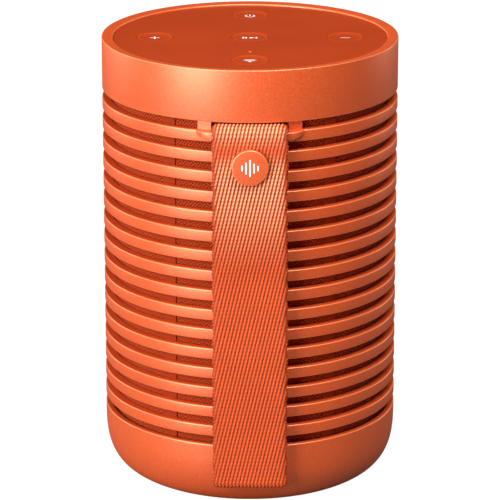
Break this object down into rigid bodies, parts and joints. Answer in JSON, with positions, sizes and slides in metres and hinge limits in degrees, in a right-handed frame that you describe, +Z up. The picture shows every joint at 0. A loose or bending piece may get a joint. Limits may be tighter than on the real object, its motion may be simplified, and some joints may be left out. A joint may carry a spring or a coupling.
{
  "type": "portable wireless speaker",
  "caption": "Ribbed aluminium drum speaker with a sunk key panel on top, cloth behind its ribs, opposed drivers inside and a webbing carry strap hung from a lug under the top ring.",
  "frame": {"origin": "middle of the foot pad's underside, on the drum's axis, where the speaker stands", "axes": "+Z up along the drum's axis, -Y towards the strap side, +X to the right of a person who faces the strap"},
  "size_m": [0.081, 0.0857, 0.124],
  "materials": {
    "anodised_aluminium": "satin orange anodising over fine blasting",
    "panel_polymer": "fine matte orange moulding",
    "key_polymer": "fine matte orange moulding with a printed white sign",
    "speaker_cloth": "basket-woven orange speaker cloth",
    "webbing": "twill-woven orange polyester webbing",
    "enclosure_polymer": "black moulding",
    "seal_rubber": "black elastomer",
    "foot_rubber": "matte orange elastomer",
    "screw_steel": "zinc-plated steel",
    "magnet_steel": "black zinc-plated steel cup",
    "cone_material": "matte black cone",
    "circuit_board": "green solder mask",
    "cell_wrap": "blue shrink sleeve",
    "lead_sleeve": "black insulated wire",
    "light_guide": "clear moulding"
  },
  "bodies": {
    "housing": {"top_ring": "anodised_aluminium", "rib_cage": "anodised_aluminium", "base_shell": "anodised_aluminium", "foot_pad": "foot_rubber", "top_panel": "panel_polymer", "top_gasket": "seal_rubber", "keypad_membrane": "seal_rubber", "control_board": "circuit_board", "dome_switch_play": "screw_steel", "dome_switch_volume_up": "screw_steel", "dome_switch_volume_down": "screw_steel", "dome_switch_power": "screw_steel", "dome_switch_link": "screw_steel", "status_light": "light_guide", "strap_lug": "anodised_aluminium", "lug_screw_1": "screw_steel", "lug_screw_2": "screw_steel", "cloth_front": "speaker_cloth", "cloth_right": "speaker_cloth", "cloth_left": "speaker_cloth", "cloth_back": "speaker_cloth", "core_tube": "enclosure_polymer", "core_lid": "enclosure_polymer", "lid_seal": "seal_rubber", "base_seal": "seal_rubber", "bottom_plate": "enclosure_polymer", "driver_basket_right": "screw_steel", "driver_surround_right": "seal_rubber", "driver_magnet_right": "magnet_steel", "driver_basket_left": "screw_steel", "driver_surround_left": "seal_rubber", "driver_magnet_left": "magnet_steel", "speaker_lead_right": "lead_sleeve", "speaker_lead_left": "lead_sleeve", "battery_tray": "enclosure_polymer", "battery_cell_right": "cell_wrap", "battery_cell_left": "cell_wrap", "main_board": "circuit_board", "amplifier_shield": "screw_steel", "usb_receptacle": "screw_steel", "usb_seal": "seal_rubber", "ring_screw_1": "screw_steel", "base_screw_1": "screw_steel", "ring_screw_2": "screw_steel", "base_screw_2": "screw_steel", "ring_screw_3": "screw_steel", "base_screw_3": "screw_steel"},
    "key_play": {"button_play": "key_polymer"},
    "key_volume_up": {"button_volume_up": "key_polymer"},
    "key_volume_down": {"button_volume_down": "key_polymer"},
    "key_power": {"button_power": "key_polymer"},
    "key_link": {"button_link": "key_polymer"},
    "strap_swing": {"strap_upper": "webbing", "strap_badge": "anodised_aluminium", "rivet_washer": "screw_steel"},
    "strap_end": {"strap_tail": "webbing"},
    "cone_right": {"driver_cone_right": "cone_material", "driver_dust_cap_right": "cone_material"},
    "cone_left": {"driver_cone_left": "cone_material", "driver_dust_cap_left": "cone_material"}
  },
  "joints": [
    {"name": "press_play", "type": "slide", "parent": "housing", "child": "key_play", "axis": [0, 0, -1], "range_m": [0, 0.0004], "stiffness_N_per_m": 500},
    {"name": "press_volume_up", "type": "slide", "parent": "housing", "child": "key_volume_up", "axis": [0, 0, -1], "range_m": [0, 0.0004], "stiffness_N_per_m": 500},
    {"name": "press_volume_down", "type": "slide", "parent": "housing", "child": "key_volume_down", "axis": [0, 0, -1], "range_m": [0, 0.0004], "stiffness_N_per_m": 500},
    {"name": "press_power", "type": "slide", "parent": "housing", "child": "key_power", "axis": [0, 0, -1], "range_m": [0, 0.0004], "stiffness_N_per_m": 500},
    {"name": "press_link", "type": "slide", "parent": "housing", "child": "key_link", "axis": [0, 0, -1], "range_m": [0, 0.0004], "stiffness_N_per_m": 500},
    {"name": "strap_pivot", "type": "hinge", "parent": "housing", "child": "strap_swing", "pos_m": [0, -0.04, 0.10625], "axis": [-1, 0, 0], "range_deg": [0, 105]},
    {"name": "strap_bend", "type": "hinge", "parent": "strap_swing", "child": "strap_end", "pos_m": [0, -0.04233, 0.0875], "axis": [-1, 0, 0], "range_deg": [0, 60]},
    {"name": "cone_travel_right", "type": "slide", "parent": "housing", "child": "cone_right", "axis": [1, 0, 0], "range_m": [-0.0012, 0.0012], "stiffness_N_per_m": 900},
    {"name": "cone_travel_left", "type": "slide", "parent": "housing", "child": "cone_left", "axis": [-1, 0, 0], "range_m": [-0.0012, 0.0012], "stiffness_N_per_m": 900}
  ]
}
